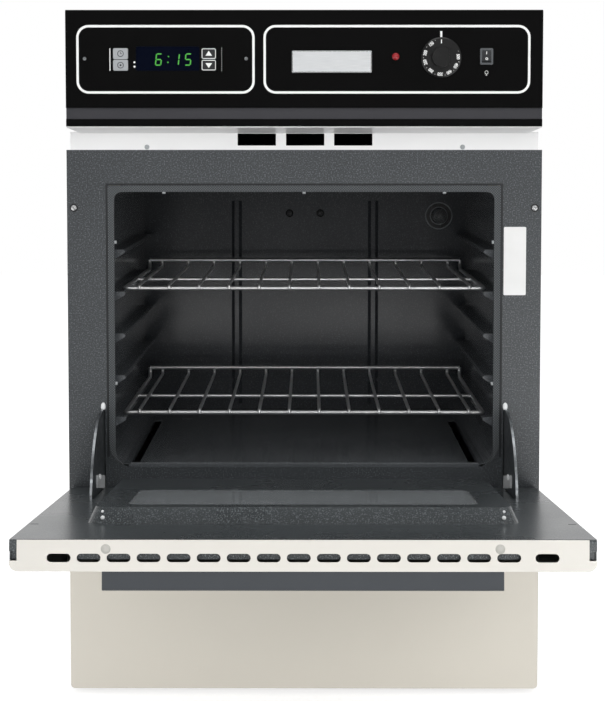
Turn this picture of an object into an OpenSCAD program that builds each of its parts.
// Built-in gas oven with a drop-down oven door and a broiler drawer below it.
// Millimetres, +Z up. The origin is on the floor line, under the middle of the front
// frame's face. The front looks along -Y, and the body runs back along +Y.
// The oven door is drawn open, as far as its hinge arms let it fall.

/* [Body] */
// Width of the body that slides into the wall
body_w = 558.8; // [555:0.2:562]
// Depth of the body behind the face of the front frame
body_d = 585; // [575:1:620]
// Height of the body
body_h = 862; // [858:1:868]
// Thickness of the galvanised outer sheets
sheet = 1; // [0.8:0.1:1.2]

/* [Front frame] */
// Width of the enamelled frame that covers the edge of the wall opening
frame_w = 609.6; // [605:0.2:615]
// Height of the enamelled frame
frame_h = 697.4; // [692:0.2:699]
// Thickness of the frame's sheet
frame_t = 1.5; // [1.2:0.1:1.8]
// Depth of the frame's returned edge
frame_return = 6; // [4:0.5:8]
// Height of the two upper mounting holes
mount_hole_z = 623; // [600:1:640]
// Height of the two lower mounting holes
mount_low_z = 150; // [120:1:180]
// Radius of the mounting holes
mount_hole_r = 3.2; // [2.5:0.1:4]

/* [Oven cavity] */
// Width between the side walls
cavity_w = 500; // [496:1:501]
// Height from the oven floor to the ceiling
cavity_h = 357; // [352:1:358]
// Depth from the frame's face to the back wall
cavity_d = 466; // [460:1:490]
// Height of the oven floor
cavity_z = 291; // [289:0.5:294]
// Thickness of the enamelled liner sheets
liner_t = 1.2; // [1:0.1:1.5]
// Radius of the upper edges of the cavity
cavity_top_r = 14; // [10:1:18]
// Radius of the lower edges of the cavity
cavity_floor_r = 22; // [18:1:24]
// Width of the flat gasket round the mouth
gasket_w = 8.2; // [7:0.1:9]
// Distance between two rack levels
level_pitch = 55; // [53:1:57]
// Height of the lowest rack level above the oven floor
level_first = 59.5; // [57:0.5:62]
// Number of rack levels
level_count = 5; // [4:1:5]
// How far the rack guides stand out of the side walls
guide_depth = 16; // [14:1:18]

/* [Racks] */
// Width of a rack
rack_w = 478; // [472:1:484]
// Distance from a rack's front wire to its back wire
rack_d = 346; // [330:1:360]
// Diameter of the frame wires
rack_wire = 5.5; // [5:0.1:6]
// Diameter of the rods
rod_wire = 4.2; // [3.5:0.1:4.6]
// Number of rods
rod_count = 12; // [10:1:13]
// Distance between two rods
rod_pitch = 39.5; // [34:0.1:40]
// Height of a rack's back wire above its front wire
rack_upturn = 14; // [13:1:18]
// Level of the upper rack, counted from the lowest
upper_level = 3; // [2:1:3]

/* [Oven door] */
// Width of both doors and of the control panel
front_w = 599.5; // [596:0.5:602]
// Height of the oven door
door_h = 465.3; // [460:0.1:466]
// Thickness of the oven door
door_t = 32.4; // [31:0.1:34]
// Height of the shut door's lower edge
door_z = 233.5; // [232:0.1:235]
// Angle from shut to open
door_open = 85; // [80:1:86]
// Radius of the hinge arms
arm_r = 116; // [110:1:120]
// Thickness of the hinge arms
arm_t = 3; // [2.5:0.1:3.2]
// Radius of the hinge pins
pin_r = 3; // [2.5:0.1:3.4]
// Width of the window
window_w = 390; // [360:1:400]
// Height of the window
window_h = 140; // [120:1:144]
// Width of the handles
handle_w = 410; // [380:1:430]
// How far a handle stands out
handle_out = 20; // [18:0.5:24]
// Length of a slot in the door's top edge
slot_l = 24.4; // [20:0.2:26]
// Height of a slot in the door's top edge
slot_h = 8.7; // [7:0.1:10]
// Distance between two slots
slot_pitch = 30.6; // [29:0.1:31]

/* [Broiler drawer] */
// Height of the drawer's front
drawer_h = 217; // [210:1:217]
// Height of the drawer front's lower edge
drawer_z = 6; // [4:0.5:8]
// How far the drawer pulls out
drawer_travel = 320; // [290:5:340]
// Width of the broiler pan
pan_w = 400; // [380:1:410]
// Depth of the broiler pan
pan_d = 340; // [300:1:350]

/* [Control panel] */
// Height of the control panel's lower edge
panel_z = 727; // [726:0.5:729]
// Height of the control panel
panel_h = 145.9; // [142:0.1:148]
// How far the control panel's face stands in front of the frame
panel_out = 37; // [36:0.5:39]
// Thickness of the panel's sheet
panel_t = 1.5; // [1.2:0.1:1.8]
// Diameter of the thermostat dial
dial_d = 50.4; // [46:0.2:54]
// Diameter of the dial's grip
grip_d = 25; // [22:0.5:28]
// How far a key travels
key_travel = 0.8; // [0.5:0.1:1]

/* [Hidden] */

// Facets on turned pieces that are drawn round
$fn = 48;

// Clearances
seat = 0.3;
fit = 0.05;
slide_gap = 0.6;
cut = 1;

// Colours
enamel = "#4b5054";
dark_enamel = "#2c2f31";
cream = "#eeebe6";
galvanised = "#b4b8ba";
black = "#101113";
chrome = "#d0d2d4";
wool = "#d9cf9f";
grey_handle = "#4b4e52";

// Insides of the body
side_x = body_w/2 - sheet;
front_x = front_w/2;
mouth_x = cavity_w/2;
ceiling_z = cavity_z + cavity_h;
mouth_gap = 2.5;
mouth_corner = 3;
mouth_floor_r = cavity_floor_r + gasket_w;
flange_w = 10;

// Place of the door's hinge: behind the outer face and above the lower edge
door_gap = 3;
pivot_y = -18;
pivot_z = door_z + 14;
door_top = door_z + door_h;
liner_face = -door_gap;
skin_face = -door_gap - door_t;
door_sheet = 1;
arm_x = 260;
arm_clear = 1;
bracket_x = arm_x + arm_t/2 + 2.5;
bracket_t = 3;
bracket_r = 7.5;
bracket_clear = 1.5;

// Burner bay and broiler bay below the oven
bay_x = 246;
bay_z = 14;
bay_d = 500;
bay_t = 1;
bay_top = cavity_z - 8;
broiler_mouth_top = 217;

// The plug on the inside of the oven door, in distances from the hinge
plug_w = 472;
plug_low = 45;
plug_high = 337;
plug_h = 17.5;
plug_slope = 8;
plug_r = 18;
window_low = 165;
window_z = pivot_z + window_low;
glass_t = 4;

// Control positions on the panel's face
panel_y = -panel_out;
panel_top = panel_z + panel_h;
clock_x = -171.2;
clock_z = panel_z + 84.8;
clock_w = 79.6;
clock_h = 30.3;
key_x = [-230.4, -119.6];
key_w = 18.6;
key_h = 13.6;
key_step = 14.4;
key_z = clock_z - 1;
dial_x = 172;
dial_z = panel_z + 86.2;
lens_x = 115;
lens_z = panel_z + 87.3;
lens_r = 4.5;
switch_x = 229;
switch_z = panel_z + 87.5;
switch_w = 13.9;
switch_h = 18.1;

// Geometry helpers

// A box between two opposite corners
module block(low, high) {
    translate(low) cube(high - low);
}

// The same piece on the right and, mirrored, on the left
module both_sides() {
    children();
    mirror([1, 0, 0]) children();
}

// An outline in X and Z, carried along Y from y0 to y1
module along_y(y0, y1) {
    translate([0, y1, 0]) rotate([90, 0, 0]) linear_extrude(y1 - y0) children();
}

// An outline in Y and Z, carried along X from x0 to x1
module along_x(x0, x1) {
    translate([x0, 0, 0]) rotate([90, 0, 90]) linear_extrude(x1 - x0) children();
}

// Points on an arc about c from angle a to angle b
function arc(c, r, a, b, n = 6) =
    [for (i = [0:n]) c + r*[cos(a + (b - a)*i/n), sin(a + (b - a)*i/n)]];

// Outline of a rectangle from low to high, with radius rt above and rb below
function soft_rect(low, high, rt, rb) = concat(
    arc([high.x - rt, high.y - rt], rt, 0, 90),
    arc([low.x + rt, high.y - rt], rt, 90, 180),
    arc([low.x + rb, low.y + rb], rb, 180, 270),
    arc([high.x - rb, low.y + rb], rb, 270, 360)
);

// Outline of a slot of length l and width w about c
function slot_outline(c, l, w) = soft_rect(c - [l, w]/2, c + [l, w]/2, w/2 - 0.01, w/2 - 0.01);

// Turns a piece of the door, drawn shut, to where the door hangs open
module on_open_door() {
    translate([0, pivot_y, pivot_z]) rotate([door_open, 0, 0]) translate([0, -pivot_y, -pivot_z]) children();
}

// A straight round bar between two points along X, Y or Z
module bar_x(x0, x1, y, z, r) {
    translate([x0, y, z]) rotate([0, 90, 0]) cylinder(h = x1 - x0, r = r);
}
module bar_y(y0, y1, x, z, r) {
    translate([x, y0, z]) rotate([-90, 0, 0]) cylinder(h = y1 - y0, r = r);
}

// Body

// Tray under the body, with two pressed stiffening beads
module base_pan() {
    lip = 20;
    bead_w = 24;
    bead_h = 5;
    bead_x = 120;
    bead_end = 60;
    color(galvanised) difference() {
        union() {
            block([-side_x, 0, 0], [side_x, body_d - 2*sheet, sheet]);
            both_sides() block([side_x - sheet, frame_t + 2*sheet, 0], [side_x, body_d - 2*sheet, lip]);
            block([-side_x, body_d - 3*sheet, 0], [side_x, body_d - 2*sheet, lip]);
            both_sides() block([bead_x, bead_end, 0], [bead_x + bead_w, body_d - bead_end, bead_h]);
        }
        both_sides() block(
            [bead_x + sheet, bead_end + sheet, -cut],
            [bead_x + bead_w - sheet, body_d - bead_end - sheet, bead_h - sheet]
        );
    }
}

// Right side of the body, with folded edges, two pressed beads and louvres by the controls
louvre_z = body_h - 102;
module body_side() {
    bead_depth = 4;
    bead_h = 22;
    bead_end = 70;
    bead_z = [cavity_z + 179, ceiling_z - 48];
    louvre_l = 60;
    louvre_h = 5;
    louvre_y = 140;
    color(galvanised) difference() {
        union() {
            block([side_x, frame_t, 0], [body_w/2, body_d, body_h]);
            block(
                [side_x - flange_w, frame_t, bay_z],
                [side_x + sheet/2, frame_t + sheet, body_h - 2*sheet]
            );
            block([side_x - flange_w, body_d - sheet, 0], [side_x + sheet/2, body_d, body_h]);
            for (z = bead_z) {
                block([side_x - bead_depth, bead_end, z], [body_w/2, body_d - bead_end, z + bead_h]);
            }
        }
        for (z = bead_z) {
            block(
                [side_x - bead_depth + sheet, bead_end + sheet, z + sheet],
                [body_w/2 + cut, body_d - bead_end - sheet, z + bead_h - sheet]
            );
        }
        for (i = [0:4]) {
            translate([side_x - cut, 0, 0]) along_x(0, sheet + 2*cut)
                polygon(slot_outline([louvre_y, louvre_z + 16*i], louvre_l, louvre_h));
        }
    }
}
module side_panel_right() { body_side(); }
module side_panel_left() { mirror([1, 0, 0]) body_side(); }

// Cover over the controls, between the two sides
module top_panel() {
    lip = 14;
    color(galvanised) {
        block([-side_x, frame_t, body_h - sheet], [side_x, body_d - 2*sheet, body_h]);
        both_sides() block(
            [side_x - sheet, frame_t + 2*sheet, body_h - lip],
            [side_x, body_d - 2*sheet, body_h - sheet]
        );
    }
}

// Back of the body, with a cut-out for the gas pipe that is open at the bottom, the cable hole
// and two rows of louvres
gas_x = -200;
gas_z = 70;
gas_notch_r = 24;
gland_x = 205;
gland_z = body_h - 62;
gland_r = 11;
module back_panel() {
    back_y = body_d - sheet;
    color(galvanised) difference() {
        block([-side_x, back_y - sheet, sheet], [side_x, back_y, body_h - sheet]);
        bar_y(back_y - sheet - cut, back_y + cut, gas_x, gas_z, gas_notch_r);
        block(
            [gas_x - gas_notch_r, back_y - sheet - cut, 0],
            [gas_x + gas_notch_r, back_y + cut, gas_z]
        );
        bar_y(back_y - sheet - cut, back_y + cut, gland_x, gland_z, gland_r + fit);
        for (i = [0:6], z = [louvre_z - 20, louvre_z]) {
            along_y(back_y - sheet - cut, back_y + cut) polygon(slot_outline([-150 + 38*i, z], 28, 5));
        }
    }
}

// Front frame

// Outline of the oven's mouth in the frame
mouth_low = cavity_z - 4;
mouth_high = ceiling_z + gasket_w/2;
frame_mouth_x = mouth_x + mouth_gap;
slot_half = arm_t/2 + arm_clear;
slot_low = pivot_z - 12;
slot_high = pivot_z + arm_r + 1.5;
mount_x = 296;
module front_frame() {
    color(enamel) difference() {
        union() {
            block([-frame_w/2, 0, sheet], [frame_w/2, frame_t, frame_h]);
            both_sides() block([frame_w/2 - frame_t, 0, sheet], [frame_w/2, frame_return, frame_h]);
        }
        along_y(-cut, frame_return + cut)
            polygon(soft_rect(
                [-frame_mouth_x, mouth_low], [frame_mouth_x, mouth_high], mouth_corner, mouth_floor_r
            ));
        along_y(-cut, frame_return + cut)
            polygon(soft_rect([-bay_x, bay_z], [bay_x, broiler_mouth_top], 4, 4));
        both_sides() {
            block([arm_x - slot_half, -cut, slot_low], [arm_x + slot_half, frame_return + cut, slot_high]);
            block(
                [bracket_x - arm_clear/2, -cut, pivot_z - bracket_r - arm_clear],
                [bracket_x + bracket_t + arm_clear/2, frame_return + cut, pivot_z + bracket_r + arm_clear]
            );
            for (z = [mount_hole_z, mount_low_z]) bar_y(-cut, frame_return + cut, mount_x, z, mount_hole_r);
        }
    }
}

// White strip above the frame with three flue outlets, bent forward under the control panel
vent_w = 49;
vent_h = 15.3;
vent_z = frame_h + 5.5;
vent_x = [-60.7, 1.3, 62.9];
vent_fold_z = vent_z + vent_h + seat;
vent_mitre = 14;
module vent_strip() {
    rise = panel_z - vent_fold_z;
    run = panel_out - 4;
    color(cream) difference() {
        along_x(-front_x, front_x) polygon([
            [0, frame_h],
            [0, vent_fold_z],
            [-run, panel_z - frame_t],
            [-run, panel_z],
            [-run + frame_t, panel_z],
            [frame_t, vent_fold_z + frame_t],
            [frame_t, frame_h]
        ]);
        for (x = vent_x) {
            block([x - vent_w/2, -cut, vent_z], [x + vent_w/2, frame_t + cut, vent_z + vent_h]);
        }
        // the bent part is cut back at an angle at both ends
        both_sides() translate([0, 0, vent_fold_z - cut]) linear_extrude(rise + 2*cut) polygon([
            [front_x + cut, 0],
            [front_x - vent_mitre, 0],
            [front_x, -run],
            [front_x + cut, -run]
        ]);
    }
}

// Oven cavity

// Height of the wires' centres on one rack level
function level_z(i) = cavity_z + level_first + level_pitch*i;

// A hollow pressed rail for the rack to run on, with its flat side up
rail_y0 = 30;
rail_y1 = 430;
rail_h = 15;
function rail_outline(z, t) = [
    [mouth_x + liner_t + t, z - t],
    [mouth_x - guide_depth + 2 + t, z - t],
    [mouth_x - guide_depth + t, z - 2.5 - t/2],
    [mouth_x - guide_depth + t, z - 4],
    [mouth_x + liner_t + t, z - rail_h + 1.6*t]
];

// Right wall of the cavity, rounded into the ceiling above and the oven floor below
module oven_wall() {
    fold_x = mouth_x - cavity_floor_r - 2;
    inner = concat(
        [[fold_x, cavity_z - 6], [fold_x, cavity_z]],
        arc([mouth_x - cavity_floor_r, cavity_z + cavity_floor_r], cavity_floor_r, 270, 360),
        arc([mouth_x - cavity_top_r, ceiling_z - cavity_top_r], cavity_top_r, 0, 90)
    );
    outer = concat(
        [[mouth_x - cavity_top_r, ceiling_z + liner_t]],
        arc([mouth_x - cavity_top_r, ceiling_z - cavity_top_r], cavity_top_r + liner_t, 90, 0),
        arc([mouth_x - cavity_floor_r, cavity_z + cavity_floor_r], cavity_floor_r + liner_t, 360, 270),
        [[fold_x + liner_t, cavity_z - liner_t], [fold_x + liner_t, cavity_z - 6]]
    );
    color(dark_enamel) difference() {
        union() {
            along_y(frame_t, cavity_d) polygon(concat(inner, outer));
            // flange behind the frame
            block(
                [mouth_x, frame_t, cavity_z + cavity_floor_r],
                [arm_x - slot_half - 0.7, frame_t + liner_t, ceiling_z - cavity_top_r]
            );
            for (i = [0:level_count - 1]) {
                along_y(rail_y0, rail_y1) polygon(rail_outline(rail_top(i), 0));
            }
        }
        for (i = [0:level_count - 1]) {
            along_y(rail_y0 + liner_t, rail_y1 - liner_t) polygon(rail_outline(rail_top(i), liner_t));
        }
    }
}
function rail_top(i) = level_z(i) - rack_wire/2 - seat;
module oven_side_right() { oven_wall(); }
module oven_side_left() { mirror([1, 0, 0]) oven_wall(); }

// Ceiling of the cavity, with the flue opening
flue_w = 240;
flue_d = 30;
flue_y = 60;
module oven_top() {
    color(dark_enamel) difference() {
        union() {
            block(
                [-mouth_x + cavity_top_r, frame_t, ceiling_z],
                [mouth_x - cavity_top_r, cavity_d, ceiling_z + liner_t]
            );
            block(
                [-mouth_x + cavity_top_r, frame_t, ceiling_z],
                [mouth_x - cavity_top_r, frame_t + liner_t, ceiling_z + 10]
            );
        }
        block([-flue_w/2, flue_y, ceiling_z - cut], [flue_w/2, flue_y + flue_d, ceiling_z + liner_t + cut]);
    }
}

// Back wall of the cavity, with two upright ribs, two small bosses and a bead pressed into it
lamp_x = 209;
lamp_z = 594;
lamp_r = 15;
rib_x = 106.5;
rib_w = 16;
rib_top = ceiling_z - 31;
rib_depth = 5;
boss_x = 24;
boss_z = ceiling_z - 49.4;
module back_rib(inset, back) {
    half = rib_w/2 - inset;
    low = cavity_z + 8 + inset;
    translate([rib_x, cavity_d + inset, low]) linear_extrude(rib_top - inset - low)
        polygon([
            [-half, back], [-half, 0], [-0.4*half, -rib_depth],
            [0.4*half, -rib_depth], [half, 0], [half, back]
        ]);
}
module oven_back() {
    back_x = mouth_x + liner_t;
    color(dark_enamel) difference() {
        union() {
            along_y(cavity_d, cavity_d + liner_t) polygon(
                soft_rect([-back_x, cavity_z - 6], [back_x, ceiling_z + liner_t], cavity_top_r + liner_t, 2)
            );
            both_sides() {
                back_rib(0, liner_t/2);
                bar_y(cavity_d - 2, cavity_d + liner_t/2, boss_x, boss_z, 5);
            }
            along_y(cavity_d - 2, cavity_d + liner_t/2)
                polygon(slot_outline([0, cavity_z + 45.5], 2*mouth_x - 50, 5));
        }
        both_sides() back_rib(liner_t, cut);
        bar_y(cavity_d - cut, cavity_d + liner_t + cut, lamp_x, lamp_z, lamp_r + seat);
    }
}

// Lift-out oven floor, cut back along both sides to let the heat up
floor_x = mouth_x - cavity_floor_r - 2 - seat;
heat_slot = 11.5;
heat_slot_end = 345;
module oven_floor() {
    top = cavity_z - seat;
    color(dark_enamel) difference() {
        union() {
            block([-floor_x, frame_t + liner_t + seat, top - liner_t], [floor_x, cavity_d - seat, top]);
            // rounded front lip that hangs over the frame
            bar_x(-floor_x, floor_x, frame_t + 4, top - 1, 2.2);
            block([-floor_x, frame_t + seat, top - 12], [floor_x, frame_t + seat + liner_t, top]);
            // flanges that stiffen the free side edges
            both_sides() block(
                [floor_x - heat_slot - liner_t, 20, top - 4],
                [floor_x - heat_slot, heat_slot_end, top]
            );
        }
        both_sides() {
            block([floor_x - heat_slot, 12, top - liner_t - cut], [floor_x + cut, heat_slot_end, top + cut]);
            block([169, 358, top - liner_t - cut], [186, 363, top + cut]);
        }
    }
}

// Flat braided gasket round the mouth, open along the oven floor
gasket_r = 10;
module door_gasket() {
    outer_x = frame_mouth_x - seat;
    inner_x = outer_x - gasket_w;
    top = mouth_high - seat;
    y0 = -door_gap + seat;
    color("#6b7073") difference() {
        along_y(y0, frame_t) polygon(soft_rect(
            [-outer_x, mouth_low + seat], [outer_x, top], mouth_corner - seat, mouth_floor_r - seat
        ));
        along_y(y0 - cut, frame_t + cut) polygon(soft_rect(
            [-inner_x, mouth_low + 1], [inner_x, top - gasket_w], gasket_r, cavity_floor_r
        ));
        block([-outer_x - cut, y0 - cut, mouth_low - cut], [outer_x + cut, frame_t + cut, cavity_z]);
    }
}

// Mineral wool round the cavity, with pockets for the hinge arms and the lamp
wool_gap = 0.6;
module insulation() {
    inner_x = mouth_x + liner_t + wool_gap;
    outer_x = side_x - 5;
    wool_z = cavity_z + cavity_floor_r;
    wool_top = ceiling_z + 38;
    color(wool) {
        difference() {
            block([-outer_x, flange_w, wool_z], [outer_x, cavity_d - 6, wool_top]);
            block([-inner_x, -cut, wool_z - cut], [inner_x, cavity_d, ceiling_z + liner_t + wool_gap]);
            both_sides() block([inner_x - cut, -cut, wool_z - cut], [outer_x + cut, 180, slot_high + 6]);
            block([-flue_w/2 - 8, -cut, ceiling_z], [flue_w/2 + 8, flue_y + flue_d + 8, wool_top + cut]);
        }
        difference() {
            block(
                [-mouth_x, cavity_d + liner_t + wool_gap, wool_z],
                [mouth_x, cavity_d + 34, ceiling_z]
            );
            bar_y(cavity_d - cut, cavity_d + 40, lamp_x, lamp_z, 27);
            block([-80, cavity_d - cut, ceiling_z - 40], [80, cavity_d + 40, ceiling_z + cut]);
        }
    }
}

// Sheet-metal duct from the ceiling of the oven to the outlets in the vent strip
module flue_duct() {
    t = sheet;
    x = flue_w/2 + 3;
    back = flue_y + flue_d + 3;
    low = ceiling_z + liner_t;
    high = vent_z + vent_h + 2;
    step = vent_z - 2;
    color(galvanised) difference() {
        union() {
            block([-x, flue_y - 3, low], [x, back, high]);
            block([-x, frame_t, step], [x, back, high]);
        }
        block([-x + t, flue_y - 3 + t, low - cut], [x - t, back - t, high - t]);
        block([-x + t, -cut, step + t], [x - t, back - t, high - t]);
    }
}

// Burner and broiler bays

// Open-topped lining of the space under the oven
module broiler_liner() {
    low = sheet + 6;
    color(galvanised) difference() {
        union() {
            block([-bay_x - bay_t, frame_t, low], [bay_x + bay_t, bay_d + bay_t, bay_top]);
            both_sides() block([bay_x, frame_t + 60, bay_top - bay_t], [bay_x + 6, bay_d, bay_top]);
            both_sides() block([60, frame_t + 20, sheet], [90, bay_d - 20, low + bay_t]);
            // headed studs that the door springs hook over
            both_sides() bar_x(bay_x, arm_x + 8, stud_y, stud_z, stud_r);
            both_sides() bar_x(arm_x + 6, arm_x + 8, stud_y, stud_z, stud_r + 2);
        }
        block([-bay_x, -cut, low + bay_t], [bay_x, bay_d, bay_top + cut]);
        both_sides() block(
            [60 + bay_t, frame_t + 20 - cut, sheet - cut],
            [90 - bay_t, bay_d - 20 + cut, low]
        );
        bar_y(bay_d - cut, bay_d + 2*cut, burner_x, burner_z, mixer_r + seat);
        bar_y(bay_d - cut, bay_d + 2*cut, igniter_x, burner_z, 5);
    }
}

// Channels on the bay's walls in which the drawer runs
rail_w = 9;
rail_z = 92;
runner_h = 14;
module drawer_rails() {
    h = runner_h + 2*slide_gap + 2*bay_t;
    y1 = bay_d - 20;
    color(galvanised) both_sides() difference() {
        block([bay_x - rail_w, 12, rail_z], [bay_x, y1, rail_z + h]);
        block(
            [bay_x - rail_w - cut, 12 - cut, rail_z + bay_t],
            [bay_x - bay_t, y1 - bay_t, rail_z + h - bay_t]
        );
    }
}

// Pressed-steel tube burner with a row of ports along each side and a mixer at the back
burner_x = 0;
burner_z = 254;
burner_r = 16;
burner_y0 = 70;
burner_y1 = 400;
mixer_r = 9;
port_count = 30;
module oven_burner() {
    wall = 1;
    color("#8f9294") difference() {
        union() {
            bar_y(burner_y0, burner_y1, burner_x, burner_z, burner_r);
            translate([burner_x, burner_y0, burner_z]) sphere(burner_r);
            translate([burner_x, burner_y1, burner_z]) rotate([-90, 0, 0])
                cylinder(h = 40, r1 = burner_r, r2 = mixer_r);
            bar_y(burner_y1 + 40, bay_d + 30, burner_x, burner_z, mixer_r);
            // foot that hangs the front of the burner on the frame's back
            block([burner_x - 12, frame_t, burner_z - 2], [burner_x + 12, burner_y0, burner_z + 2]);
        }
        bar_y(burner_y0, burner_y1 + wall, burner_x, burner_z, burner_r - wall);
        bar_y(burner_y1, bay_d + 30 + cut, burner_x, burner_z, mixer_r - wall);
        for (i = [0:port_count - 1]) {
            port_y = burner_y0 + 12 + 10*i;
            bar_x(burner_x - burner_r - cut, burner_x + burner_r + cut, port_y, burner_z - 4, 1.4);
        }
        // air openings of the mixer
        for (a = [0, 90]) translate([burner_x, bay_d + 14, burner_z]) rotate([0, a, 0])
            bar_x(-mixer_r - cut, mixer_r + cut, 0, 0, 3.5);
    }
}

// Baffle over the burner that spreads the flame
module flame_spreader() {
    low = burner_z + burner_r + seat;
    w = 105;
    t = 1.2;
    y0 = burner_y0 - 10;
    y1 = burner_y1 + 30;
    strap = 20;
    color("#7b7d7e") {
        // straps that hang the baffle between the bay's walls
        both_sides() for (y = [y0 + 30, y1 - 50])
            block(
                [w - 1, y, low + 2],
                [bay_x - seat, y + strap, low + 2 + t]
            );
        along_y(y0, y1) polygon([
            [-w, low + 2], [-w, low - 4], [-w - t, low - 4], [-w - t, low + 2 + t],
            [-14, low + 8 + t], [14, low + 8 + t],
            [w + t, low + 2 + t], [w + t, low - 4], [w, low - 4], [w, low + 2],
            [14, low + 8], [-14, low + 8]
        ]);
    }
}

// Glow-bar igniter on its ceramic block, beside the burner
igniter_x = 34;
igniter_y = burner_y1 - 100;
module igniter() {
    block_l = 30;
    color("#e6e2d8") block(
        [burner_x + burner_r + seat, igniter_y, burner_z - 8],
        [igniter_x + 8, igniter_y + block_l, burner_z + 8]
    );
    color("#6e6e6e") {
        bar_y(igniter_y - 60, igniter_y, igniter_x, burner_z, 4);
        bar_y(igniter_y + block_l, bay_d + 20, igniter_x, burner_z, 2);
    }
}

// Safety valve at the burner's mixer, behind the bays
module gas_valve() {
    y0 = bay_d + 30 + seat;
    color("#a7a9ab") {
        difference() {
            block([burner_x - 18, y0, burner_z - 16], [burner_x + 18, y0 + 34, burner_z + 16]);
            bar_y(y0 - cut, y0 + 10, burner_x, burner_z, 2);
        }
        bar_x(burner_x - 40, burner_x - 18, y0 + 17, burner_z, 8);
    }
}

// Gas pipe from the threaded inlet at the back to the safety valve
pipe_r = 6;
inlet_r = 9.1;
inlet_depth = 15;
module gas_pipe() {
    y = bay_d + 30 + seat + 17;
    valve_x = burner_x - 40 - seat;
    inlet_back = body_d - 3;
    color("#8a8c8e") difference() {
        union() {
            bar_x(gas_x, valve_x, y, burner_z, pipe_r);
            translate([gas_x, y, gas_z]) cylinder(h = burner_z - gas_z, r = pipe_r);
            translate([gas_x, y, burner_z]) sphere(pipe_r);
            translate([gas_x, y, gas_z]) sphere(14);
            bar_y(y, inlet_back, gas_x, gas_z, inlet_r + 4.9);
        }
        bar_y(inlet_back - inlet_depth, inlet_back + cut, gas_x, gas_z, inlet_r);
        bar_y(y, inlet_back, gas_x, gas_z, 4);
    }
}

// Box for the mains wiring, inside the back panel
module wiring_box() {
    t = sheet;
    back = body_d - 2*sheet;
    color(galvanised) difference() {
        block([gland_x - 45, back - 60, gland_z - 35], [gland_x + 45, back, gland_z + 35]);
        block(
            [gland_x - 45 + t, back - 60 + t, gland_z - 35 + t],
            [gland_x + 45 - t, back + cut, gland_z + 35 - t]
        );
    }
}

// Cable gland in the back panel: the mains cable enters here
cable_r = 4;
module cord_gland() {
    back = body_d - sheet;
    color(black) difference() {
        union() {
            bar_y(back - sheet - 10, back + 1.2, gland_x, gland_z, gland_r);
            bar_y(back - sheet - 10, back - sheet - 6, gland_x, gland_z, gland_r + 2);
        }
        bar_y(back - 40, back + 5, gland_x, gland_z, cable_r);
    }
}

// Oven fittings

// Porcelain lamp holder pushed through the back wall from behind
module lamp_socket() {
    color("#d8d4c8") difference() {
        union() {
            bar_y(cavity_d - 3, cavity_d - seat, lamp_x, lamp_z, 21.5);
            bar_y(cavity_d - 3, cavity_d + 45, lamp_x, lamp_z, lamp_r);
            bar_y(cavity_d + liner_t + seat, cavity_d + liner_t + seat + 4, lamp_x, lamp_z, 21.5);
        }
        bar_y(cavity_d - 4, cavity_d + 35, lamp_x, lamp_z, 12.2);
    }
}

// Small tubular lamp with its screw base in the holder
module oven_lamp() {
    color("#f4f1e6") {
        translate([lamp_x, cavity_d - 30, lamp_z]) sphere(11);
        bar_y(cavity_d - 30, cavity_d + 4, lamp_x, lamp_z, 11);
        bar_y(cavity_d + 4, cavity_d + 35, lamp_x, lamp_z, 9);
    }
}

// Sensing bulb of the thermostat, clipped across the top of the back wall
module sensor_bulb() {
    z = ceiling_z - 12;
    y = cavity_d - 14;
    color(chrome) {
        bar_x(-70, 60, y, z, 3);
        for (x = [-50, 40]) {
            difference() {
                block([x - 4, y - 4.5, z - 4.5], [x + 4, cavity_d - seat/3, z + 4.5]);
                bar_x(x - 5, x + 5, y, z, 3 + fit);
            }
        }
    }
}

// Hinge of the oven door

// Galvanised brackets behind the frame, each with an ear that the hinge pin turns in
module hinge_brackets() {
    back = frame_t + 14;
    color(galvanised) both_sides() difference() {
        union() {
            bar_x(bracket_x, bracket_x + bracket_t, pivot_y, pivot_z, bracket_r);
            block(
                [bracket_x, pivot_y, pivot_z - bracket_r],
                [bracket_x + bracket_t, back, pivot_z + bracket_r]
            );
            block([bracket_x, frame_t, pivot_z - 32], [bracket_x + bracket_t, back, pivot_z + 30]);
            block([bracket_x, frame_t, pivot_z - 32], [side_x - flange_w - seat, frame_t + 2, pivot_z + 30]);
        }
        bar_x(bracket_x - cut, bracket_x + bracket_t + cut, pivot_y, pivot_z, pin_r + fit);
    }
}

// Quadrant plate riveted inside the door, here with the door shut. Its tail carries the spring.
arm_tail = 30;
tail_angle = 3.5;
tail_r = arm_r - 12;
hook_wire = 1.1;
module hinge_arm() {
    start = 90 - door_open - arm_tail;
    eye_r = 9;
    color("#9da1a4") difference() {
        union() {
            along_x(arm_x - arm_t/2, arm_x + arm_t/2) translate([pivot_y, pivot_z])
                polygon(concat([[0, 0]], arc([0, 0], arm_r, start, 90, 24)));
            bar_x(arm_x - arm_t/2, arm_x + arm_t/2, pivot_y, pivot_z, eye_r);
            // foot along the back of the door's lining
            block(
                [arm_x - arm_t/2, liner_face - 13, pivot_z],
                [arm_x + arm_t/2, liner_face - door_sheet, pivot_z + arm_r + 6]
            );
        }
        bar_x(arm_x - arm_t, arm_x + arm_t, pivot_y, pivot_z, pin_r);
        translate([0, pivot_y, pivot_z]) rotate([start + tail_angle, 0, 0])
            bar_x(arm_x - arm_t, arm_x + arm_t, tail_r, 0, hook_wire + 1.5);
    }
}
module hinge_arm_right() { on_open_door() hinge_arm(); }
module hinge_arm_left() { mirror([1, 0, 0]) hinge_arm_right(); }

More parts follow.
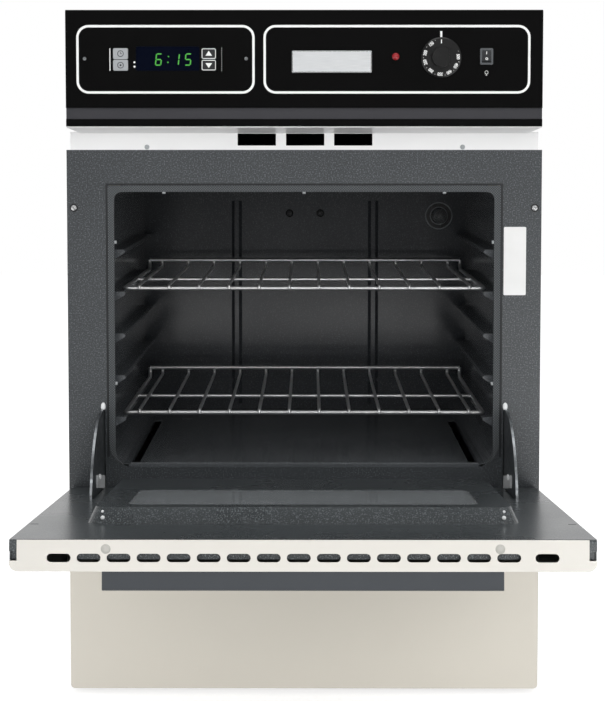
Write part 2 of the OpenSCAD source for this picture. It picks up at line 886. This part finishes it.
// Headed pins that turn with the arms in the brackets
module hinge_pins() {
    x0 = arm_x - arm_t/2 - 1.5;
    x1 = bracket_x + bracket_t + seat;
    color(chrome) both_sides() {
        bar_x(x0, x1 + 1.5, pivot_y, pivot_z, pin_r);
        bar_x(x0, arm_x - arm_t/2, pivot_y, pivot_z, pin_r + 2);
        bar_x(x1, x1 + 1.5, pivot_y, pivot_z, pin_r + 2);
    }
}

// Long springs that balance the door, stretched while it hangs open. Each hooks through the
// tail of an arm and over a stud on the bay.
stud_y = 330;
stud_z = 205;
stud_r = 3;
spring_r = 6;
hook_r = 6;
module door_springs() {
    tail = [pivot_y, pivot_z] + tail_r*[cos(90 - arm_tail + tail_angle), sin(90 - arm_tail + tail_angle)];
    run = [stud_y, stud_z] - tail;
    length = norm(run) + stud_r + seat + hook_wire;
    color(galvanised) both_sides() translate([arm_x, tail.x, tail.y]) rotate([atan2(run.y, run.x), 0, 0]) {
        translate([0, hook_r, 0]) rotate_extrude() translate([hook_r, 0]) circle(hook_wire);
        bar_y(2*hook_r - hook_wire, length - 2*hook_r + hook_wire, 0, 0, spring_r);
        translate([0, length - hook_r, 0]) rotate([0, 90, 0]) rotate_extrude() translate([hook_r, 0])
            circle(hook_wire);
    }
}

// Oven door, drawn shut and then turned open

// The door's outer sheet: front face with rounded side edges, and a slotted top edge
skin_wrap = 11;
door_corner = 9;
end_slot_x = 249;
slot_back = 18.6;
module skin_outline(inset, back) {
    r = door_corner - inset;
    polygon(concat(
        [[-front_x + inset, skin_face + back]],
        arc([-front_x + door_corner, skin_face + door_corner], r, 180, 270),
        arc([front_x - door_corner, skin_face + door_corner], r, 270, 360),
        [[front_x - inset, skin_face + back]]
    ));
}
module door_skin_shut() {
    inset = 8;
    slots = concat([for (i = [0:15]) -end_slot_x + slot_pitch*i], [end_slot_x]);
    difference() {
        union() {
            difference() {
                translate([0, 0, door_z]) linear_extrude(door_h) skin_outline(0, skin_wrap);
                translate([0, 0, door_z + door_sheet]) linear_extrude(door_h - 2*door_sheet)
                    skin_outline(door_sheet, skin_wrap + cut);
            }
            block(
                [-front_x + inset, skin_face + door_corner, door_top - door_sheet],
                [front_x - inset, liner_face - seat, door_top]
            );
        }
        for (x = slots) {
            translate([0, 0, door_top - door_sheet - cut]) linear_extrude(door_sheet + 2*cut)
                polygon(slot_outline([x, liner_face - slot_back], slot_l, slot_h));
        }
        along_y(skin_face - cut, skin_face + door_sheet + cut) polygon(soft_rect(
            [-window_w/2, window_z], [window_w/2, window_z + window_h], 10, 10
        ));
    }
}
module door_skin() { color(cream) on_open_door() door_skin_shut(); }

// The door's enamelled lining with its raised plug, drawn shut
module frustum(low, high, h, slope, r) {
    hull() {
        linear_extrude(0.01) polygon(soft_rect(low, high, r, r));
        translate([0, 0, h - 0.01]) linear_extrude(0.01)
            polygon(soft_rect(low + [slope, slope], high - [slope, slope], r - slope/2, r - slope/2));
    }
}
module plug(offset_in) {
    translate([0, liner_face - offset_in, pivot_z]) rotate([90, 0, 0]) mirror([0, 0, 1])
        frustum(
            [-plug_w/2 + offset_in, plug_low + offset_in],
            [plug_w/2 - offset_in, plug_high - offset_in],
            plug_h, plug_slope, plug_r
        );
}
module door_liner_shut() {
    depth = door_t - skin_wrap - seat;
    r = 8;
    t = door_sheet;
    low = door_z;
    high = door_top - door_sheet - seat;
    // the upper edge folds forward, drops and runs on below the slots
    fold = 12;
    drop = 6;
    profile = concat(
        [[liner_face - depth, low]],
        arc([liner_face - r, low + r], r, 270, 360),
        arc([liner_face - 2.5, high - 2.5], 2.5, 0, 90),
        [
            [liner_face - fold, high],
            [liner_face - fold, high - drop],
            [liner_face - depth, high - drop],
            [liner_face - depth, high - drop - t],
            [liner_face - fold + t, high - drop - t],
            [liner_face - fold + t, high - t]
        ],
        arc([liner_face - 2.5, high - 2.5], 2.5 - t, 90, 0),
        arc([liner_face - r, low + r], r - t, 360, 270),
        [[liner_face - depth, low + t]]
    );
    difference() {
        union() {
            along_x(-front_x, front_x) polygon(profile);
            both_sides() block(
                [front_x - t, liner_face - depth, low + r],
                [front_x, liner_face - t/2, high - 3]
            );
            plug(0);
        }
        plug(t);
        along_y(liner_face - 5, liner_face + plug_h + cut) polygon(soft_rect(
            [-window_w/2, window_z], [window_w/2, window_z + window_h], 12, 12
        ));
        both_sides() {
            // notch for the hinge bracket and slot for the arm
            block(
                [arm_x - slot_half, liner_face - 26, door_z - cut],
                [bracket_x + bracket_t + bracket_clear, liner_face + cut, pivot_z + bracket_r + 4]
            );
            block(
                [arm_x - slot_half, liner_face - 5, door_z],
                [arm_x + slot_half, liner_face + cut, pivot_z + arm_r + 2]
            );
            // small slot near the side edge, and the gap below the outermost slot of the top edge
            block(
                [front_x - 11.7, liner_face - 5, door_top - 117],
                [front_x - 2.7, liner_face + cut, door_top - 114]
            );
            block(
                [end_slot_x - slot_l/2 - 3, liner_face - depth - cut, high - drop - 2*t],
                [end_slot_x + slot_l/2 + 3, liner_face - fold, high + cut]
            );
        }
    }
}
module door_liner() { color(enamel) on_open_door() door_liner_shut(); }

// Glass wool between the two sheets of the door, cut out round the window
wool_x = arm_x - 15;
module door_insulation() {
    color(wool) on_open_door() difference() {
        block(
            [-wool_x, skin_face + door_sheet + seat, door_z + 24],
            [wool_x, liner_face - door_sheet - seat, door_top - 34]
        );
        block(
            [-window_w/2 - 14, skin_face, window_z - 14],
            [window_w/2 + 14, liner_face, window_z + window_h + 14]
        );
    }
}

// Panes of the door's window, each held behind the edge of its opening
module pane(y0) {
    lap = 9;
    along_y(y0, y0 + glass_t) polygon(soft_rect(
        [-window_w/2 - lap, window_z - lap], [window_w/2 + lap, window_z + window_h + lap], 8, 8
    ));
}
module door_glass_outer() {
    color("#1b1d1f") on_open_door() pane(skin_face + door_sheet);
}
module door_glass_inner() {
    color("#3a4044") on_open_door() pane(liner_face + plug_h - door_sheet - glass_t);
}

// Angled pull along the top of a door's front: a flat web with a lip turned down
module pull(top) {
    t = 3;
    drop = 24;
    along_x(-handle_w/2, handle_w/2) polygon(concat(
        [[skin_face, top]],
        arc([skin_face - handle_out + 3, top - 3], 3, 90, 180),
        arc([skin_face - handle_out + t/2, top - drop + t/2], t/2, 180, 360),
        arc([skin_face - handle_out + t + 2, top - t - 2], 2, 180, 90),
        [[skin_face - 12, top - t], [skin_face - t, top - t]],
        [[skin_face - t, top - drop + 6], [skin_face, top - drop + 6]]
    ));
}
module door_handle() { color(grey_handle) on_open_door() pull(door_top - 1); }

// Round-headed screws through the door's top edge
edge_screw_x = 201;
module door_screws() {
    color("#d8d5cf") on_open_door() both_sides() {
        translate([edge_screw_x, liner_face - 9.5, door_top]) intersection() {
            translate([0, 0, -4]) sphere(6.4);
            cylinder(h = 4, r = 5);
        }
    }
}

// Racks

rack_y = 49;
rack_side_x = rack_w/2 - rack_wire/2;
corner_r = 5;
bend_r = 12;

// A quarter bend of wire r, with centre line radius big, from +X towards +Y
module bend(big, r) {
    rotate_extrude(angle = 90) translate([big, 0]) circle(r);
}

// One rack on the level whose wires' centres are at height z
module rack(z) {
    wr = rack_wire/2;
    rr = rod_wire/2;
    back_y = rack_y + rack_d;
    rod_z = z + wr + rr - 0.6;
    color(chrome) {
        // frame: front wire, sides, upturned back
        bar_x(-rack_side_x + corner_r, rack_side_x - corner_r, rack_y, z, wr);
        both_sides() {
            translate([rack_side_x - corner_r, rack_y + corner_r, z]) rotate([0, 0, -90]) bend(corner_r, wr);
            bar_y(rack_y + corner_r, back_y - bend_r, rack_side_x, z, wr);
            translate([rack_side_x, back_y - bend_r, z + bend_r]) rotate([0, 90, 0]) bend(bend_r, wr);
            translate([rack_side_x, back_y, z + bend_r]) cylinder(h = rack_upturn - bend_r, r = wr);
        }
        bar_x(-rack_side_x, rack_side_x, back_y, z + rack_upturn, wr);
        bar_x(-rack_side_x, rack_side_x, rack_y + 148, z, wr*0.9);
        for (i = [0:rod_count - 1]) {
            x = (i - (rod_count - 1)/2)*rod_pitch;
            bar_y(rack_y - 1, back_y - 5, x, rod_z, rr);
            // front end curls down over the front wire
            translate([x, rack_y - 1, rod_z - 4]) rotate([0, -90, 0]) rotate([0, 0, -90]) bend(4, rr);
            translate([x, rack_y - 5, rod_z - 4]) sphere(rr);
            // back end turns up to the back wire
            translate([x, back_y - 5, rod_z + 5]) rotate([0, 90, 0]) bend(5, rr);
            translate([x, back_y, rod_z + 5]) cylinder(h = z + rack_upturn - rod_z - 5, r = rr);
        }
    }
}
module upper_rack() { rack(level_z(upper_level)); }
module lower_rack() { rack(level_z(0)); }

// Broiler drawer

drawer_top = drawer_z + drawer_h;

// Cream front of the drawer, folded back at its edges
module drawer_front() {
    color(cream) difference() {
        block([-front_x, skin_face, drawer_z], [front_x, liner_face - door_sheet, drawer_top]);
        block(
            [-front_x + door_sheet, skin_face + door_sheet, drawer_z + door_sheet],
            [front_x - door_sheet, 0, drawer_top - door_sheet]
        );
        both_sides() along_y(skin_face - cut, 0) polygon(concat(
            [[front_x + cut, drawer_z - cut]],
            arc([front_x - 5, drawer_z + 5], 5, 0, -90)
        ));
    }
}

// Inner sheet of the drawer's front
module drawer_front_liner() {
    color(galvanised) {
        block([-front_x, liner_face - door_sheet, drawer_z], [front_x, liner_face, drawer_top]);
    }
}
module drawer_handle() { color(grey_handle) pull(drawer_top - 1); }

// Side runners joined by cross rails that carry the pan. Their ends stay in the rails when
// the drawer is pulled right out.
runner_hold = 100;
frame_y1 = drawer_travel + runner_hold;
shelf_z = 60;
shelf_t = 2;
module drawer_frame() {
    t = shelf_t;
    run_x = bay_x - bay_t - slide_gap;
    run_z = rail_z + bay_t + slide_gap;
    side = bay_x - rail_w - slide_gap;
    color(galvanised) {
        both_sides() {
            block([side - t, liner_face, run_z], [run_x, frame_y1, run_z + t]);
            block([side - t, liner_face, shelf_z], [side, frame_y1, run_z + runner_h]);
            block([run_x - t, 14, run_z], [run_x, frame_y1, run_z + runner_h]);
            block([side - t - 24, liner_face, shelf_z], [side, frame_y1, shelf_z + t]);
        }
        block([-side + t, frame_y1 - t, shelf_z], [side - t, frame_y1, run_z]);
        block([-side + t, liner_face, shelf_z], [side - t, liner_face + t, run_z]);
    }
}

// Enamelled broiler pan, hung by its rim on the drawer's shelves
pan_y = 30;
pan_t = 1.2;
pan_z = shelf_z + shelf_t + seat;
module broiler_pan() {
    depth = 34;
    t = pan_t;
    rim = 16;
    rim_z = pan_z;
    r = 18;
    x = pan_w/2;
    color(dark_enamel) difference() {
        union() {
            translate([0, 0, rim_z]) linear_extrude(t)
                polygon(soft_rect([-x - rim, pan_y - 4], [x + rim, pan_y + pan_d + 4], 10, 10));
            translate([0, 0, rim_z - depth]) linear_extrude(depth + t)
                polygon(soft_rect([-x, pan_y], [x, pan_y + pan_d], r, r));
        }
        translate([0, 0, rim_z - depth + t]) linear_extrude(depth + 1) polygon(
            soft_rect([-x + t, pan_y + t], [x - t, pan_y + pan_d - t], r - t, r - t)
        );
    }
}

// Slotted grid that lies on the rim of the pan and leaves a gap at the front
module broiler_grid() {
    t = 1.5;
    z = pan_z + pan_t + seat;
    x = pan_w/2 + 6;
    // room at the front to pour off the fat
    pour_gap = 24;
    slot_step = 25;
    slot_margin = 16;
    slot_count = floor((pan_d - pour_gap - 2*slot_margin)/slot_step);
    color(dark_enamel) difference() {
        translate([0, 0, z]) linear_extrude(t)
            polygon(soft_rect([-x, pan_y + pour_gap], [x, pan_y + pan_d + 2], 10, 10));
        for (i = [-1:1], j = [0:slot_count]) {
            translate([0, 0, z - cut]) linear_extrude(t + 2*cut) polygon(slot_outline(
                [i*pan_w*0.3, pan_y + pour_gap + slot_margin + slot_step*j], pan_w*0.24, 5
            ));
        }
    }
}

// Control panel

// Outline of the panel from the side, w inside its outer surface
function panel_profile(w) = [
    [frame_t + (w > 0 ? cut : 0), panel_z + w],
    [panel_y + 1 + w, panel_z + w],
    [panel_y + 1 + w, panel_z + 9 - w],
    [panel_y + 3.5 + w, panel_z + 9 - w],
    [panel_y + 3.5 + w, panel_z + 23.3 + w],
    [panel_y + w, panel_z + 23.3 + w],
    [panel_y + w, panel_top - 3],
    [panel_y + 1 + w, panel_top - 1 - w],
    [panel_y + 3, panel_top - w],
    [frame_t + (w > 0 ? cut : 0), panel_top - w]
];
module control_panel() {
    color(black) difference() {
        along_x(-front_x, front_x) polygon(panel_profile(0));
        along_x(-front_x + panel_t, front_x - panel_t) polygon(panel_profile(panel_t));
        for (x = key_x, s = [-1, 1]) {
            along_y(panel_y - cut, panel_y + panel_t + cut) polygon(soft_rect(
                [x - key_w/2 - seat, key_z + s*key_step/2 - key_h/2 - seat],
                [x + key_w/2 + seat, key_z + s*key_step/2 + key_h/2 + seat], 2, 2
            ));
        }
        along_y(panel_y - cut, panel_y + panel_t + cut) polygon(soft_rect(
            [clock_x - clock_w/2, clock_z - clock_h/2], [clock_x + clock_w/2, clock_z + clock_h/2], 2, 2
        ));
        bar_y(panel_y - cut, panel_y + panel_t + cut, lens_x, lens_z, lens_r + fit);
        bar_y(panel_y - cut, panel_y + panel_t + cut, dial_x, dial_z, 6);
        along_y(panel_y - cut, panel_y + panel_t + cut) polygon(soft_rect(
            [switch_x - switch_w/2, switch_z - switch_h/2],
            [switch_x + switch_w/2, switch_z + switch_h/2], 1, 1
        ));
    }
}

// Electronic clock behind the panel, with a bore for each key's stem
clock_y = panel_y + panel_t;
stem_r = 1.5;
stem_end = 6.5;
module clock_module() {
    color("#2d5a3d") difference() {
        union() {
            block([clock_x - 76, clock_y + 5, clock_z - 24], [clock_x + 76, clock_y + 30, clock_z + 24]);
            for (x = [clock_x - 72, clock_x + 72], z = [clock_z - 20, clock_z + 20])
                bar_y(clock_y, clock_y + 6, x, z, 3);
        }
        for (x = key_x, s = [-1, 1]) {
            bar_y(clock_y + 4, clock_y + stem_end + key_travel + 1.7, x, key_z + s*key_step/2, stem_r + fit);
        }
    }
}
module clock_window() {
    lap = 1.5;
    color("#0c1426") {
        along_y(panel_y - 0.3, clock_y) polygon(soft_rect(
            [clock_x - clock_w/2 + fit, clock_z - clock_h/2 + fit],
            [clock_x + clock_w/2 - fit, clock_z + clock_h/2 - fit], 2, 2
        ));
        along_y(clock_y, clock_y + 5) polygon(soft_rect(
            [clock_x - clock_w/2 + fit - lap/2, clock_z - clock_h/2 - lap],
            [clock_x + clock_w/2 - fit + lap/2, clock_z + clock_h/2 + lap], 2, 2
        ));
    }
}

// One key: a cap with a retaining flange behind the panel and a stem into the clock
module clock_key(x, s) {
    z = key_z + s*key_step/2;
    color("#8d9093") {
        along_y(panel_y - 1.2, clock_y + seat)
            polygon(soft_rect([x - key_w/2, z - key_h/2], [x + key_w/2, z + key_h/2], 2, 2));
        block(
            [x - key_w/2 - 1.2, clock_y + seat, z - key_h/2],
            [x + key_w/2 + 1.2, clock_y + 1.5, z + key_h/2]
        );
        bar_y(clock_y + 1, clock_y + stem_end, x, z, stem_r);
    }
}
module clock_key_upper_left() { clock_key(key_x[0], 1); }
module clock_key_lower_left() { clock_key(key_x[0], -1); }
module clock_key_upper_right() { clock_key(key_x[1], 1); }
module clock_key_lower_right() { clock_key(key_x[1], -1); }

// Red lens of the burner light with its lamp holder
module indicator_lens() {
    color("#b3121f") {
        bar_y(panel_y - 1, clock_y + 18, lens_x, lens_z, lens_r);
        translate([lens_x, panel_y - 1, lens_z]) intersection() {
            translate([0, 3, 0]) sphere(5.4);
            bar_y(-3, 0.5, 0, 0, lens_r - 0.2);
        }
        bar_y(clock_y, clock_y + 3, lens_x, lens_z, lens_r + 2);
    }
}

// Thermostat on the back of the panel, with a bore for its shaft
shaft_r = 3;
module thermostat_body() {
    color("#b9bbbd") difference() {
        union() {
            block([dial_x - 26, clock_y + 4, dial_z - 20], [dial_x + 26, clock_y + 46, dial_z + 20]);
            block([dial_x - 34, clock_y, dial_z - 10], [dial_x + 34, clock_y + 4, dial_z + 10]);
        }
        bar_y(clock_y - cut, clock_y + 20, dial_x, dial_z, shaft_r + fit);
    }
}
module thermostat_shaft() {
    color(chrome) bar_y(panel_y - 12, clock_y + 19, dial_x, dial_z, shaft_r);
}

// Dial with a bevelled rim, a ribbed flat-sided grip and a bore for the shaft
module thermostat_knob() {
    back = panel_y - 0.8;
    face = back - 2.2;
    grip_out = face - 13;
    color(black) difference() {
        union() {
            bar_y(face, back, dial_x, dial_z, dial_d/2);
            translate([dial_x, face, dial_z]) rotate([90, 0, 0])
                cylinder(h = 1.2, r1 = dial_d/2, r2 = dial_d/2 - 1.5);
            difference() {
                translate([dial_x, face, dial_z]) rotate([90, 0, 0])
                    cylinder(h = 13, r1 = grip_d/2 + 0.6, r2 = grip_d/2 - 0.6);
                block([dial_x + 9.5, grip_out - cut, dial_z - 20], [dial_x + 30, face - 1.2, dial_z + 20]);
                for (i = [-3:3])
                    block(
                        [dial_x + 8.9, grip_out - cut, dial_z + 2.2*i - 0.5],
                        [dial_x + 10, face - 1.2, dial_z + 2.2*i + 0.5]
                    );
            }
        }
        bar_y(panel_y - 12.01, back + cut, dial_x, dial_z, shaft_r);
    }
}

// Rocker switch for the oven light: a snapped-in frame with a pivoting key
rocker_y = panel_y + 4;
rocker_pin = 1.2;
switch_wall = 1.3;
module light_switch_body() {
    rim = 1.2;
    wall = switch_wall;
    back = clock_y + 14;
    color("#55585b") difference() {
        union() {
            along_y(panel_y - 1.2, panel_y) polygon(soft_rect(
                [switch_x - switch_w/2 - rim, switch_z - switch_h/2 - rim],
                [switch_x + switch_w/2 + rim, switch_z + switch_h/2 + rim], 1.5, 1.5
            ));
            along_y(panel_y - 1.2, back) polygon(soft_rect(
                [switch_x - switch_w/2 + fit, switch_z - switch_h/2 + fit],
                [switch_x + switch_w/2 - fit, switch_z + switch_h/2 - fit], 1, 1
            ));
        }
        block(
            [switch_x - switch_w/2 + wall, panel_y - 2, switch_z - switch_h/2 + wall],
            [switch_x + switch_w/2 - wall, back - 2, switch_z + switch_h/2 - wall]
        );
        bar_x(switch_x - switch_w/2, switch_x + switch_w/2, rocker_y, switch_z, rocker_pin + fit);
    }
}
rocker_turn = 14;
module light_rocker() {
    x = switch_w/2 - switch_wall - seat;
    h = switch_h/2 - switch_wall - 0.7;
    color("#303336") translate([switch_x, rocker_y, switch_z]) {
        rotate([-rocker_turn/2, 0, 0]) along_x(-x, x) polygon([
            [0, -3], [-3.5, -h], [-6, -h], [-4.9, 0], [-6, h], [-3.5, h], [0, 3], [2, 0]
        ]);
        bar_x(-x - 1, x + 1, 0, 0, rocker_pin);
    }
}

base_pan();
side_panel_left();
side_panel_right();
top_panel();
back_panel();
front_frame();
vent_strip();
oven_side_left();
oven_side_right();
oven_top();
oven_back();
oven_floor();
door_gasket();
insulation();
flue_duct();
broiler_liner();
drawer_rails();
oven_burner();
flame_spreader();
igniter();
gas_valve();
gas_pipe();
wiring_box();
cord_gland();
lamp_socket();
oven_lamp();
sensor_bulb();
hinge_brackets();
door_springs();
control_panel();
clock_module();
clock_window();
indicator_lens();
thermostat_body();
light_switch_body();
thermostat_shaft();
thermostat_knob();
light_rocker();
clock_key_upper_left();
clock_key_lower_left();
clock_key_upper_right();
clock_key_lower_right();
upper_rack();
lower_rack();
door_skin();
door_liner();
door_insulation();
door_glass_outer();
door_glass_inner();
door_handle();
door_screws();
hinge_arm_left();
hinge_arm_right();
hinge_pins();
drawer_front();
drawer_front_liner();
drawer_handle();
drawer_frame();
broiler_pan();
broiler_grid();
